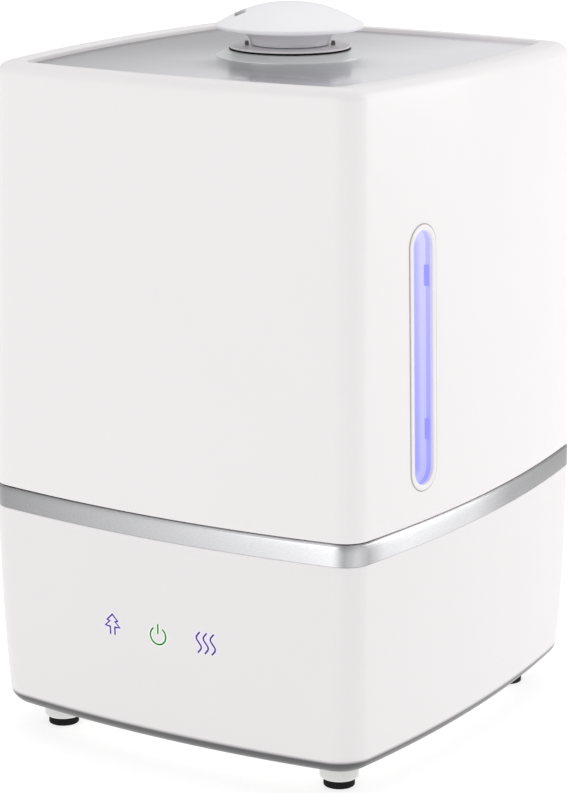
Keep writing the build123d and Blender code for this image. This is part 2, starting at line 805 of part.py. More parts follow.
def make_nozzle_cap():
    """The domed cap: a skin over the neck's plate, with a rolled rim and the slot the mist leaves by."""
    seat = plate_top + 0.05
    socket = plate_radius + 0.1
    shoulder = dome_rim_top + 0.4
    inner_top = dome_apex - dome_wall
    over = dome_line(dome_radius - 0.15, dome_apex, shoulder)
    under = dome_line(plate_radius - 0.9, inner_top, seat)
    rim = Polyline((plate_radius - 0.9, seat), (socket, seat), (socket, dome_rim_bottom),
                   (dome_radius - 0.9, dome_rim_bottom))
    edge = ThreePointArc((dome_radius - 0.9, dome_rim_bottom), (dome_radius - 0.25, dome_rim_bottom + 0.3),
                         (dome_radius, dome_rim_bottom + 0.9))
    lip = Polyline((dome_radius, dome_rim_bottom + 0.9), (dome_radius, dome_rim_top),
                   (dome_radius - 0.15, shoulder))
    axis = Line((0, dome_apex), (0, inner_top))
    cap = spun(over, axis, under, rim, edge, lip)
    slot = Pos(slot_distance, 0, dome_apex - 12) * Box(slot_depth, slot_width, 16, align=FROM_BELOW)
    slot = fillet(slot.edges().filter_by(Axis.Z), slot_corner)
    return cap - Rot(0, 0, slot_angle) * slot


# ---------------------------------------------------------------- all pieces

def make_parts():
    outer = base_block(0.0, base_bottom, base_edge_radius)
    icons = {name: icon_prism(x, lines) for name, (x, lines) in icon_lines().items()}
    parts = {
        "base_shell": make_base_shell(outer, icons),
        "trim_band": make_trim_band(),
        "bottom_cover": make_bottom_cover(),
        "cover_screws": make_cover_screws(),
        "foot_bosses": make_foot_bosses(),
        "water_basin": make_water_basin(),
        "mist_well": make_mist_well(),
        "air_tower": tube(tower_radius, tower_bore, basin_floor_bottom, tower_top, tower_x),
        "basin_pillars": make_basin_pillars(),
        "transducer_disc": cylinder(disc_radius, disc_bottom, disc_top, well_x),
        "transducer_seal": tube(seal_radius, seal_bore, disc_top, well_floor_bottom, well_x),
        "transducer_clamp": make_transducer_clamp(),
        "transducer_screws": make_clamp_screws(),
        "light_board": make_light_board(),
        "light_guide": make_light_guide(),
        "float_clip": tube(5.2, float_post_radius + 0.02, 91.6, 93.0, float_x, float_y),
        "reed_switch": cylinder(reed_radius, 76.5, reed_top, float_x, float_y),
        "float_ring": make_float_ring(),
        "float_magnet": tube(7.5, 4.9, float_top - 2.0, float_top - 0.2, float_x, float_y),
        "fan_frame": make_fan_frame(),
        "fan_rotor": make_fan_rotor(),
        "fan_screws": make_fan_screws(),
        "air_duct": make_air_duct(),
        "power_board": make_power_board(),
        "driver_board": make_driver_board(),
        "board_screws": make_board_screws(),
        "heat_sink": make_heat_sink(),
        "ioniser_module": block(30, 56, 40, 56, cover_top, 26.0),
        "control_board": make_control_board(),
        "control_screws": make_control_screws(),
        "touch_springs": make_touch_springs(),
        "dc_inlet": make_dc_inlet(),
        "tank_shell": make_tank_shell(),
        "tank_floor": make_tank_floor(),
        "filler_neck": tube(neck_radius, neck_bore, neck_end, floor_bottom, 0.0, cap_y),
        "mist_chimney": make_mist_chimney(),
        "chimney_seal": tube(21.0, chimney_radius + 0.05, tank_plate_bottom - 2.0, tank_plate_bottom),
        "deck_panel": make_deck_panel(),
        "outlet_ring": make_outlet_ring(),
        "window_bezel": make_window_bezel(),
        "window_lens": make_window_lens(),
        "window_clips": make_window_clips(),
        "window_seal": make_window_seal(),
        "tank_cap": make_tank_cap(),
        "cap_gasket": tube(neck_radius + 0.1, neck_bore + 0.1, cap_bottom + cap_floor, neck_end - 0.1,
                           0, cap_y),
        "valve_stem": make_valve_stem(),
        "valve_seal": tube(8.0, 1.8, 101.1, 103.0, 0, cap_y),
        "valve_spring": make_valve_spring(),
        "nozzle_collar": make_nozzle_collar(),
        "nozzle_gasket": tube(flange_radius - 0.3, plug_radius + 0.1, ring_top + 0.05, flange_bottom),
        "nozzle_neck": make_nozzle_neck(),
        "nozzle_cap": make_nozzle_cap(),
    }
    for name, prism in icons.items():
        parts[name] = prism & outer
    sides = ("front_right", "back_right", "back_left", "front_left")
    for side, (x, y) in zip(sides, corners(foot_x, foot_y)):
        parts["foot_pad_" + side] = make_foot_pad(x, y)
    return parts


for name, part in make_parts().items():
    export_step(part, "parts/" + name + ".step")
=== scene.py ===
import json
import math

import bmesh
import bpy
from mathutils import Matrix, Vector


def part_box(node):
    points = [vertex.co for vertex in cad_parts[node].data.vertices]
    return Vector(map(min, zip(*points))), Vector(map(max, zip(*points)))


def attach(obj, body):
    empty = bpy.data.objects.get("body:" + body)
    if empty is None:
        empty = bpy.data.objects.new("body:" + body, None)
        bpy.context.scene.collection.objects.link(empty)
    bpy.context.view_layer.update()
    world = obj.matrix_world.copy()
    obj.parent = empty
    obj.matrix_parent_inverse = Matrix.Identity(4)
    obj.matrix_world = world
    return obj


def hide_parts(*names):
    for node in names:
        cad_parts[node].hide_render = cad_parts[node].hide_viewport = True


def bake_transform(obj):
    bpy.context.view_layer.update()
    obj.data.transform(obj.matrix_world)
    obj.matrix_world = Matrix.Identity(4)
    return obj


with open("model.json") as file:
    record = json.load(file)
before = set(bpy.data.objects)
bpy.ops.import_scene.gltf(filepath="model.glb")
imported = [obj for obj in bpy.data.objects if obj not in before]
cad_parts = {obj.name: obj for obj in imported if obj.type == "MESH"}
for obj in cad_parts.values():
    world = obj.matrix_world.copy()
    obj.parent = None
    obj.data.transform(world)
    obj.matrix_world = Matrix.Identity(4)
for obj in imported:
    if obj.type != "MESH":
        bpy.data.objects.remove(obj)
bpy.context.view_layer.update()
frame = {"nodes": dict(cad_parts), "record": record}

# A cool mist humidifier in metres, +Z up.  The front with the touch icons faces -Y, the water window is in
# the +X side, and the mist nozzle stands on the Z axis.  Profiles of small pieces are in millimetres.

MM = 0.001
NODES = frame["nodes"]


# ================================================================ camera, light and floor

CAMERA_AZIMUTH = math.radians(31.73)
CAMERA_DISTANCE = 1.1322        # level distance from the nozzle's axis
CAMERA_HEIGHT = 0.4140
CAMERA_PITCH = math.radians(13.965)
CAMERA_LENS = 128.41
CAMERA_SHIFT = -0.0069

# The studio's walls are darker in these directions: the direction, the dot products with it where the dimming
# starts and ends, and the brightness there.
DARK_WALLS = (
    ((0.52, -0.84, 0.15), -0.2, 1.0, 1.03, 0.64),
    ((-0.82, 0.47, -0.33), 0.1, 1.0, 1.0, 0.66),
)

# Each light's place, its width and height, and its power in watts.
LIGHTS = {
    "right": ((1.45, 1.35, 0.7), (1.0, 1.8), 8.1),
    "front": ((-0.35, -2.0, 0.8), (1.2, 1.4), 4.8),
    "top": ((0.0, 0.4, 2.0), (1.6, 1.6), 2.5),
}
LIGHT_TARGET = Vector((0.0, 0.0, 0.15))
FLOOR_REACH = 12.0


def make_camera():
    data = bpy.data.cameras.new("camera")
    data.lens = CAMERA_LENS
    data.sensor_width = 36.0
    data.shift_x = CAMERA_SHIFT
    data.clip_start = 0.05
    data.clip_end = 60.0
    camera = bpy.data.objects.new("camera", data)
    bpy.context.scene.collection.objects.link(camera)
    x = CAMERA_DISTANCE * math.sin(CAMERA_AZIMUTH)
    y = -CAMERA_DISTANCE * math.cos(CAMERA_AZIMUTH)
    camera.location = (x, y, CAMERA_HEIGHT)
    camera.rotation_euler = (math.radians(90) - CAMERA_PITCH, 0, CAMERA_AZIMUTH)
    bpy.context.scene.camera = camera


def make_world():
    """A white studio, dimmed towards each of the dark walls."""
    world = bpy.data.worlds.new("studio")
    bpy.context.scene.world = world
    world.use_nodes = True
    tree = world.node_tree
    background = tree.nodes["Background"]
    background.inputs["Strength"].default_value = 1.0
    direction = tree.nodes.new("ShaderNodeTexCoord").outputs["Generated"]
    product = tree.nodes.new("ShaderNodeMath")
    product.operation = "MULTIPLY"
    for index, (wall, start, end, bright, dark) in enumerate(DARK_WALLS):
        facing = tree.nodes.new("ShaderNodeVectorMath")
        facing.operation = "DOT_PRODUCT"
        tree.links.new(direction, facing.inputs[0])
        facing.inputs[1].default_value = wall
        shade = tree.nodes.new("ShaderNodeMapRange")
        tree.links.new(facing.outputs["Value"], shade.inputs["Value"])
        for key, value in (("From Min", start), ("From Max", end), ("To Min", bright), ("To Max", dark)):
            shade.inputs[key].default_value = value
        tree.links.new(shade.outputs[0], product.inputs[index])
    tree.links.new(product.outputs[0], background.inputs["Color"])


def make_lights():
    for name, (place, size, power) in LIGHTS.items():
        data = bpy.data.lights.new(name, "AREA")
        data.shape = "RECTANGLE"
        data.size = size[0]
        data.size_y = size[1]
        data.energy = power
        light = bpy.data.objects.new(name, data)
        light.location = place
        light.rotation_euler = (LIGHT_TARGET - Vector(place)).to_track_quat("-Z", "Y").to_euler()
        bpy.context.scene.collection.objects.link(light)


def make_floor():
    corners = [(x * FLOOR_REACH, y * FLOOR_REACH, 0) for x, y in ((-1, -1), (1, -1), (1, 1), (-1, 1))]
    mesh = bpy.data.meshes.new("floor")
    mesh.from_pydata(corners, [], [(0, 1, 2, 3)])
    mesh.materials.append(MATERIALS["floor"])
    floor = bpy.data.objects.new("floor", mesh)
    bpy.context.scene.collection.objects.link(floor)


def set_view():
    settings = bpy.context.scene.view_settings
    settings.view_transform = "Standard"
    settings.look = "None"


# ================================================================ materials

class Recipe:
    """Builds one node material, with short calls for the nodes it needs."""

    def __init__(self, name):
        self.material = bpy.data.materials.new(name)
        self.material.use_nodes = True
        self.tree = self.material.node_tree
        self.shader = self.tree.nodes["Principled BSDF"]

    def node(self, kind, inputs=None, **settings):
        made = self.tree.nodes.new(kind)
        for key, value in settings.items():
            setattr(made, key, value)
        for key, value in (inputs or {}).items():
            self.put(made, key, value)
        return made

    def put(self, node, key, value):
        socket = node.inputs[key]
        if isinstance(value, bpy.types.NodeSocket):
            self.tree.links.new(value, socket)
        else:
            socket.default_value = value

    def set(self, **values):
        """Sets or links the shader's sockets, by their names in lower case."""
        for key, value in values.items():
            self.put(self.shader, key.replace("_", " ").title().replace("Ior", "IOR"), value)
        return self

    def place(self, scale=(1, 1, 1), turn=(0, 0, 0)):
        """Object coordinates, stretched and turned."""
        source = self.node("ShaderNodeTexCoord").outputs["Object"]
        return self.node("ShaderNodeMapping", {"Vector": source, "Scale": scale, "Rotation": turn}).outputs[0]

    def axis(self, vector, letter):
        return self.node("ShaderNodeSeparateXYZ", {"Vector": vector}).outputs[letter]

    def noise(self, vector, scale, detail=3.0, roughness=0.55):
        inputs = {"Vector": vector, "Scale": scale, "Detail": detail, "Roughness": roughness}
        return self.node("ShaderNodeTexNoise", inputs).outputs["Fac"]

    def ramp(self, value, start, end, low=0.0, high=1.0, **settings):
        """Runs from low to high as value goes from start to end."""
        inputs = {"Value": value, "From Min": start, "From Max": end, "To Min": low, "To Max": high}
        return self.node("ShaderNodeMapRange", inputs, **settings).outputs[0]

    def between(self, noise, low, high):
        """Runs from low to high over the middle of a noise."""
        return self.ramp(noise, 0.3, 0.7, low, high)

    def mix(self, factor, first, second, **settings):
        """A blend of two colours, each a triple or a socket."""
        made = self.node("ShaderNodeMix", data_type="RGBA", **settings)
        self.put(made, 0, factor)
        for slot, colour in ((6, first), (7, second)):
            self.put(made, slot, (*colour, 1) if isinstance(colour, tuple) else colour)
        return made.outputs[2]

    def colour(self):
        """The socket that feeds the shader's base colour."""
        return self.shader.inputs["Base Color"].links[0].from_socket

    def bump(self, height, strength, distance):
        made = self.node("ShaderNodeBump", {"Height": height, "Strength": strength, "Distance": distance})
        self.put(self.shader, "Normal", made.outputs[0])
        return self


GRAIN_DEPTH = 0.04 * MM         # of moulded plastic
HAIRLINE_DEPTH = 0.03 * MM      # of brushed metal
PLASTIC_IOR = 1.49

# Plain mouldings: darker tone, lighter tone, roughness, scale of the grain, strength of its bump, clear coat.
MOULDED = {
    "white_shell": ((0.81, 0.785, 0.79), (0.83, 0.805, 0.81), 0.32, 60.0, 0.0, 0.25),
    "nozzle_white": ((0.85, 0.845, 0.87), (0.865, 0.86, 0.885), 0.32, 60.0, 0.0, 0.25),
    # A darker copy of the nozzle's white plastic: painted shade of the dome over the flange.
    "flange_white_painted_shade": ((0.70, 0.68, 0.69), (0.72, 0.70, 0.71), 0.35, 60.0, 0.0, 0.2),
    # Near black for the lugs, which are moulded in the shell's white plastic: painted shade between them and
    # the neck.
    "lug_grey": ((0.10, 0.10, 0.10), (0.14, 0.14, 0.14), 0.4, 900.0, 0.05, 0.0),
    "white_inner": ((0.76, 0.76, 0.75), (0.80, 0.80, 0.79), 0.45, 900.0, 0.05, 0.0),
    "black_plastic": ((0.018, 0.018, 0.02), (0.03, 0.03, 0.032), 0.5, 900.0, 0.2, 0.0),
    "silicone": ((0.55, 0.55, 0.53), (0.63, 0.63, 0.61), 0.5, 900.0, 0.1, 0.0),
    # Grey for the window frame's joint: painted shade of the narrow gap.
    "joint_painted_shade": ((0.36, 0.355, 0.34), (0.42, 0.415, 0.40), 0.5, 900.0, 0.05, 0.0),
    "float_foam": ((0.66, 0.63, 0.57), (0.76, 0.73, 0.67), 0.85, 420.0, 0.6, 0.0),
    "magnet": ((0.03, 0.03, 0.032), (0.06, 0.06, 0.062), 0.55, 2200.0, 0.5, 0.0),
}

# Brushed or plated metals: darker tone, lighter tone, roughness, stretch of the hairlines.
BRUSHED = {
    "steel": ((0.42, 0.42, 0.41), (0.56, 0.56, 0.54), 0.30, (300, 300, 1200)),
    "heat_metal": ((0.45, 0.46, 0.47), (0.56, 0.57, 0.58), 0.38, (30, 900, 900)),
    "piezo": ((0.50, 0.46, 0.32), (0.60, 0.56, 0.42), 0.35, (500, 500, 500)),
}

# The window's painted glow, at its bottom and at its top; the walls' copy is darker by painted shade, the
# slanted edges' copy lighter by painted highlight.
WINDOW_GLOWS = {
    "clear_violet": ((0.42, 0.42, 0.90), (0.66, 0.66, 0.96)),
    "wall_violet_painted_shade": ((0.24, 0.24, 0.80), (0.44, 0.44, 0.92)),
    "edge_violet_painted_highlight": ((0.48, 0.48, 1.0), (0.72, 0.72, 1.0)),
}

# Lit clips, icons and the halos round the icons: colour, strength of the glow.
LIT_PARTS = {
    "clip_violet": ((0.20, 0.19, 0.62), 0.62),
    "icon_violet": ((0.022, 0.010, 0.12), 0.05),
    "icon_green": ((0.018, 0.10, 0.02), 0.05),
    "violet_glow": ((0.62, 0.55, 0.90), 0.16),
    "green_glow": ((0.60, 0.86, 0.60), 0.10),
}

# Painted reflections and shade on the silver band along the front and the right side: the brightness of its
# colour, by x + y in metres.
BAND_PAINTED_REFLECTIONS = ((-0.185, 0.28), (-0.146, 0.41), (-0.098, 0.56), (-0.060, 0.69), (-0.031, 0.79), (-0.0165, 0.88),
              (-0.0115, 0.39), (-0.004, 0.60), (0.003, 0.42), (0.014, 0.73), (0.030, 0.80), (0.080, 0.68),
              (0.112, 0.36), (0.160, 0.26))
BAND_REACH = 0.2                # the painted reflections run over x + y up to this, either way


def moulded(name, first, second, roughness, grain, bump, coat):
    """Moulded plastic: a faint unevenness of colour and gloss, and the fine grain of its mould."""
    recipe = Recipe(name)
    place = recipe.place()
    cloud = recipe.noise(place, 14.0, 2.0)
    fine = recipe.noise(place, grain, 2.0)
    recipe.set(base_color=recipe.mix(cloud, first, second),
               roughness=recipe.between(fine, roughness - 0.03, roughness + 0.03),
               coat_weight=coat, coat_roughness=0.12, ior=PLASTIC_IOR)
    return recipe.bump(fine, bump, GRAIN_DEPTH) if bump else recipe


def brushed(name, first, second, roughness, stretch, bump=0.12):
    """Brushed or plated metal, with hairlines along the axes that stretch keeps short."""
    recipe = Recipe(name)
    lines = recipe.noise(recipe.place(stretch), 1.0, 4.0, 0.65)
    recipe.set(base_color=recipe.mix(lines, first, second), metallic=1.0,
               roughness=recipe.between(lines, roughness - 0.05, roughness + 0.06))
    return recipe.bump(lines, bump, HAIRLINE_DEPTH)


def make_base_material():
    """The base's white plastic, with painted shade where its bottom edge turns under towards the floor."""
    recipe = moulded("base_white", (0.775, 0.75, 0.755), (0.795, 0.77, 0.775), 0.32, 60.0, 0.0, 0.25)
    height = recipe.axis(recipe.node("ShaderNodeNewGeometry").outputs["Normal"], "Z")
    # Painted shade: the colour darkens to near black as the surface turns to face down, where the floor's
    # shadow falls.
    under = recipe.ramp(height, -0.36, -0.09, 1.0, 0.0, interpolation_type="SMOOTHSTEP")
    recipe.set(base_color=recipe.mix(under, recipe.colour(), (0.07, 0.07, 0.075)))
    return recipe.material


def make_band_material():
    """Satin plating with fine level hairlines, its colour lightened and darkened along the band by painted
    reflections and shade.
    """
    recipe = brushed("silver_band", (0.90, 0.90, 0.91), (1.0, 1.0, 1.0), 0.26, (60, 60, 2600), 0.06)
    place = recipe.place()
    along = recipe.node("ShaderNodeMath", {0: recipe.axis(place, "X"), 1: recipe.axis(place, "Y")},
                        operation="ADD")
    # Painted reflections: the colour is multiplied by the brightness listed for each place along the band.
    ramp = recipe.node("ShaderNodeValToRGB", {"Fac": recipe.ramp(along.outputs[0], -BAND_REACH, BAND_REACH)})
    stops = ramp.color_ramp.elements
    while len(stops) < len(BAND_PAINTED_REFLECTIONS):
        stops.new(0.5)
    for stop, (place, painted_reflection) in zip(stops, BAND_PAINTED_REFLECTIONS):
        stop.position = place / (2 * BAND_REACH) + 0.5
        stop.color = (painted_reflection, painted_reflection, painted_reflection * 1.015, 1)
    recipe.set(base_color=recipe.mix(1.0, recipe.colour(), ramp.outputs["Color"], blend_type="MULTIPLY"))
    return recipe.material


def make_deck_material():
    """A glossy metallic plate with fine hairlines across it, and a painted reflection that darkens its colour
    towards its left.
    """
    recipe = Recipe("deck")
    lines = recipe.noise(recipe.place((30, 1500, 30), (0, 0, math.radians(-20))), 1.0, 4.0, 0.65)
    scratches = recipe.ramp(lines, 0.60, 0.70)
    # Painted reflection: the colour runs from dark at the left to bright at the right, across the plate.
    across = recipe.axis(recipe.place(turn=(0, 0, math.radians(8))), "X")
    painted_reflection = recipe.mix(recipe.ramp(across, -0.076, 0.042), (0.16, 0.158, 0.172), (0.92, 0.912, 0.975))
    shade = recipe.mix(lines, (0.93, 0.93, 0.93), (1.0, 1.0, 1.0))
    recipe.set(base_color=recipe.mix(1.0, painted_reflection, shade, blend_type="MULTIPLY"), metallic=1.0,
               roughness=recipe.ramp(scratches, 0.0, 1.0, 0.15, 0.36))
    return recipe.bump(lines, 0.16, 0.02 * MM).material


def make_board_material():
    """Green solder mask with lighter copper tracks under it."""
    recipe = Recipe("board")
    bricks = recipe.node("ShaderNodeTexBrick", {"Vector": recipe.place(), "Scale": 260.0, "Mortar Size": 0.06,
                                                "Color1": (0.01, 0.10, 0.03, 1),
                                                "Color2": (0.015, 0.13, 0.04, 1),
                                                "Mortar": (0.03, 0.22, 0.07, 1)})
    fine = recipe.noise(recipe.place(), 1800.0)
    recipe.set(base_color=bricks.outputs["Color"], roughness=recipe.between(fine, 0.28, 0.4), coat_weight=0.3)
    return recipe.bump(fine, 0.1, GRAIN_DEPTH).material


def make_clear_material():
    recipe = Recipe("clear_plastic")
    fine = recipe.noise(recipe.place(), 700.0)
    recipe.set(base_color=recipe.mix(fine, (0.82, 0.88, 0.93), (0.8446, 0.9064, 0.9579)),
               roughness=recipe.between(fine, 0.12, 0.22), transmission_weight=0.55, ior=PLASTIC_IOR)
    return recipe.bump(fine, 0.05, GRAIN_DEPTH).material


def make_violet_material(name, lower, upper):
    """The water window's clear tray, with the light of the violet lamps below it painted in as a glow: paler
    at the top, deeper lower down.
    """
    recipe = Recipe(name)
    low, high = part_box("window_lens")
    share = recipe.ramp(recipe.axis(recipe.place(), "Z"), low.z, high.z)
    fine = recipe.noise(recipe.place(), 500.0)
    recipe.set(base_color=recipe.mix(fine, (0.30, 0.30, 0.70), (0.34, 0.34, 0.74)),
               emission_color=recipe.mix(share, lower, upper), emission_strength=0.62,
               roughness=recipe.between(fine, 0.12, 0.2))
    return recipe.material


def make_lit_material(name, colour, glow):
    recipe = Recipe(name)
    fine = recipe.noise(recipe.place(), 2500.0)
    brighter = tuple(min(1.0, part * 1.4) for part in colour)
    recipe.set(base_color=recipe.mix(fine, colour, brighter), roughness=recipe.between(fine, 0.3, 0.4),
               emission_color=(*brighter, 1), emission_strength=glow)
    return recipe.material


def make_materials():
    made = {name: moulded(name, *values).material for name, values in MOULDED.items()}
    made.update({name: brushed(name, *values).material for name, values in BRUSHED.items()})
    made.update({name: make_violet_material(name, *values) for name, values in WINDOW_GLOWS.items()})
    made.update({name: make_lit_material(name, *values) for name, values in LIT_PARTS.items()})
    made["base_white"] = make_base_material()
    made["silver_band"] = make_band_material()
    made["deck"] = make_deck_material()
    made["board"] = make_board_material()
    made["clear_plastic"] = make_clear_material()
    rubber = moulded("rubber", (0.004, 0.004, 0.004), (0.010, 0.010, 0.010), 0.8, 1600.0, 0.3, 0.0)
    made["rubber"] = rubber.set(specular_ior_level=0.2).material
    seat = moulded("seat_silver", (0.68, 0.70, 0.69), (0.74, 0.76, 0.75), 0.34, 1200.0, 0.03, 0.0)
    made["seat_silver"] = seat.set(metallic=0.35).material
    floor = moulded("floor", (0.42, 0.42, 0.42), (0.44, 0.44, 0.44), 0.6, 60.0, 0.0, 0.0)
    floor.set(emission_color=(1, 1, 1, 1), emission_strength=0.70, specular_ior_level=0.1)
    made["floor"] = floor.material
    return made


def paint_cad_nodes():
    """Every CAD node gets the material of its slot."""
    for entry in frame["record"]["subparts"]:
        mesh = NODES[entry["node"]].data
        mesh.materials.clear()
        mesh.materials.append(MATERIALS[entry["material_slot"]])


# ================================================================ mesh making

SMOOTH_ANGLE = 34.0             # edges sharper than this stay sharp, in degrees
LATHE_STEPS = 200


def smooth(mesh, angle):
    mesh.shade_smooth()
    mesh.set_sharp_from_angle(angle=math.radians(angle))


def add_object(name, vertices, faces, material, body, replaced=(), smooth_angle=SMOOTH_ANGLE):
    """A mesh object that rides on a body, or on none yet, and stands for the replaced nodes."""
    mesh = bpy.data.meshes.new(name)
    mesh.from_pydata([tuple(v) for v in vertices], [], faces)
    mesh.validate()
    tidy = bmesh.new()
    tidy.from_mesh(mesh)
    bmesh.ops.remove_doubles(tidy, verts=tidy.verts, dist=1e-7)
    bmesh.ops.recalc_face_normals(tidy, faces=tidy.faces)
    tidy.to_mesh(mesh)
    tidy.free()
    smooth(mesh, smooth_angle)
    mesh.materials.append(MATERIALS[material])
    made = bpy.data.objects.new(name, mesh)
    bpy.context.scene.collection.objects.link(made)
    if body:
        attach(made, body)
    if replaced:
        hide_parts(*replaced)
    return made


def loop_faces(ring_count, ring_size, closed):
    """Quads between neighbouring rings of points; closed also joins the last ring to the first."""
    faces = []
    for ring in range(ring_count if closed else ring_count - 1):
        after = (ring + 1) % ring_count
        for index in range(ring_size):
            beside = (index + 1) % ring_size
            faces.append((ring * ring_size + index, ring * ring_size + beside,
                          after * ring_size + beside, after * ring_size + index))
    return faces


def skin(name, rings, material, body, replaced=(), smooth_angle=SMOOTH_ANGLE, closed=True):
    """A wall of rings of points, each joined to the next, and the last to the first if closed."""
    vertices = [point for ring in rings for point in ring]
    faces = loop_faces(len(rings), len(rings[0]), closed)
    return add_object(name, vertices, faces, material, body, replaced, smooth_angle)


def capped(rings):
    """Vertices and faces of a solid through rings of points, with a flat face at each end."""
    size = len(rings[0])
    vertices = [point for ring in rings for point in ring]
    faces = loop_faces(len(rings), size, False)
    faces += [tuple(reversed(range(size))), tuple(range(len(vertices) - size, len(vertices)))]
    return vertices, faces


def prism(outline_points, place, low, high):
    """An outline of (x, y), set by a matrix, from low to high along its Z."""
    return capped([[place @ Vector((x, y, z)) for x, y in outline_points] for z in (low, high)])


def joined(solids):
    """Vertices and faces of several solids as one."""
    vertices, faces = [], []
    for solid_vertices, solid_faces in solids:
        first = len(vertices)
        vertices += solid_vertices
        faces += [tuple(first + index for index in face) for face in solid_faces]
    return vertices, faces


def cut(target, vertices, faces, smooth_angle=SMOOTH_ANGLE):
    """Cuts a closed mesh out of target."""
    cutter = add_object(target.name + "_cutter", vertices, faces, "rubber", None)
    change = target.modifiers.new("cut", "BOOLEAN")
    change.operation = "DIFFERENCE"
    change.solver = "EXACT"
    change.object = cutter
    bpy.context.view_layer.update()
    result = bpy.data.meshes.new_from_object(target.evaluated_get(bpy.context.evaluated_depsgraph_get()))
    target.modifiers.remove(change)
    target.data = result
    bpy.data.objects.remove(cutter)
    smooth(result, smooth_angle)


def arc(centre, radius, start, stop, steps):
    """Points of an arc in a profile, angles in degrees."""
    points = []
    for step in range(steps + 1):
        angle = math.radians(start + (stop - start) * step / steps)
        points.append((centre[0] + radius * math.cos(angle), centre[1] + radius * math.sin(angle)))
    return points


def lathe(name, profile, material, body, replaced=(), smooth_angle=SMOOTH_ANGLE):
    """A piece turned about the Z axis from a profile of (radius, height) in millimetres.

    A profile that starts and ends on the axis stays open there.
    """
    turns = [2 * math.pi * step / LATHE_STEPS for step in range(LATHE_STEPS)]
    rings = [[(radius * MM * math.cos(turn), radius * MM * math.sin(turn), height * MM) for turn in turns]
             for radius, height in profile]
    return skin(name, rings, material, body, replaced, smooth_angle, closed=profile[0][0] > 0)


def stadium(width, height, steps=24):
    """An upright stadium outline, counter-clockwise."""
    radius = width / 2
    straight = height / 2 - radius
    points = [(x, y + straight) for x, y in arc((0, 0), radius, 0, 180, steps)]
    return points + [(x, y - straight) for x, y in arc((0, 0), radius, 180, 360, steps)]


def rounded_rectangle(width, height, radius, steps=8):
    points = []
    for x, y, start in ((1, 1, 0), (-1, 1, 90), (-1, -1, 180), (1, -1, 270)):
        centre = (x * (width / 2 - radius), y * (height / 2 - radius))
        points += arc(centre, radius, start, start + 90, steps)
    return points


def outline(half_x, half_y, bow_x, bow_y, corner, side_steps=32, corner_steps=14):
    """The body's outline from above: four bowed sides joined by rounded corners, counter-clockwise."""
    end_x = half_x - bow_x
    end_y = half_y - bow_y
    radius_x = (end_y ** 2 + bow_x ** 2) / (2 * bow_x)          # the right side's own radius
    radius_y = (end_x ** 2 + bow_y ** 2) / (2 * bow_y)
    side = Vector((half_x - radius_x, 0.0))                     # centres of the two sides' arcs
    back = Vector((0.0, half_y - radius_y))
    apart = (back - side).length                                # the corner's centre is inside both arcs
    along = ((radius_x - corner) ** 2 - (radius_y - corner) ** 2 + apart ** 2) / (2 * apart)
    across = math.sqrt((radius_x - corner) ** 2 - along ** 2)
    forward = (back - side) / apart
    middle = side + forward * along + Vector((-forward.y, forward.x)) * across
    side_angle = math.degrees(math.atan2(middle.y - side.y, middle.x - side.x))
    back_angle = math.degrees(math.atan2(middle.y - back.y, middle.x - back.x))
    quarter = arc(side, radius_x, 0, side_angle, side_steps)[:-1]
    quarter += arc(middle, corner, side_angle, back_angle, corner_steps)[:-1]
    quarter += arc(back, radius_y, back_angle, 90, side_steps)[:-1]
    quarter.append((0.0, half_y))
    mirrored = [(-x, y) for x, y in reversed(quarter[1:-1])]
    upper = quarter + mirrored + [(-half_x, 0.0)]
    return upper + [(x, -y) for x, y in reversed(upper[1:-1])]


# ================================================================ the outer shells

BASE_LOW, BASE_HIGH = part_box("base_shell")
BAND_LOW, BAND_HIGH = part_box("trim_band")
TANK_LOW, TANK_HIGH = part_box("tank_shell")
DECK_LOW, DECK_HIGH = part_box("deck_panel")
INLET_LOW, INLET_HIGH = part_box("dc_inlet")
HALF_X = BAND_HIGH.x
HALF_Y = BAND_HIGH.y

SIDE_BOW = 7.75 * MM            # how far the middle of a left or right side stands out past its ends
FRONT_BOW = 7.2 * MM            # the same for the front and the back
CORNER = 11.2 * MM              # upright corners

BASE_TUCK = 2.87 * MM           # how much narrower the base is at its bottom, each side
BASE_CORNER_GROWTH = 3.1 * MM   # its corners grow rounder by this
BASE_FLATTENING = 0.12          # and its sides lose this share of their bow
BASE_WALL = 2.4 * MM
BASE_FLOOR = 4.0 * MM
BASE_EDGE = 6.7 * MM            # radius of the bottom edge
COVER_THICKNESS = 2.0 * MM
COVER_REBATE = 11.3 * MM        # the bottom cover lies in a rebate, this far in
COVER_OPENING = 17.0 * MM
INLET_HOLE = 5.6 * MM           # radius

BAND_LEG = 6.0 * MM             # the band reaches down inside the base by this

TANK_DRAFT = 3.24 * MM          # how far each side of the tank leans in up to the rim
TANK_WALL = 2.6 * MM
TANK_PLATE = 2.5 * MM           # the tank's top under the deck
TANK_EDGE = 4.5 * MM            # radius of the rim's outer edge
CHIMNEY_HOLE = 17.9 * MM        # radius

DECK_GAP = 0.15 * MM            # between the deck plate and the tank, all round
DECK_SIDE_BOW = 6.55 * MM
DECK_FRONT_BOW = 4.3 * MM
DECK_CORNER = 6.0 * MM
DECK_HOLE = 18.5 * MM           # radius


def at_height(points, z):
    return [(x, y, z) for x, y in points]


def slab_ring(inset, z):
    """The outline at the silver band, moved in by inset, at height z."""
    corner = max(CORNER - inset, 4 * MM)
    return at_height(outline(HALF_X - inset, HALF_Y - inset, SIDE_BOW, FRONT_BOW, corner), z)


def base_shape(z):
    """How far down the base z is, from 0 to 1, its tuck there, and how much of their bow its sides keep."""
    down = (BASE_HIGH.z - z) / (BASE_HIGH.z - BASE_LOW.z)
    tuck = BASE_TUCK * (down * down - 0.05 * down) / 0.95
    return down, tuck, 1.0 - BASE_FLATTENING * down * down


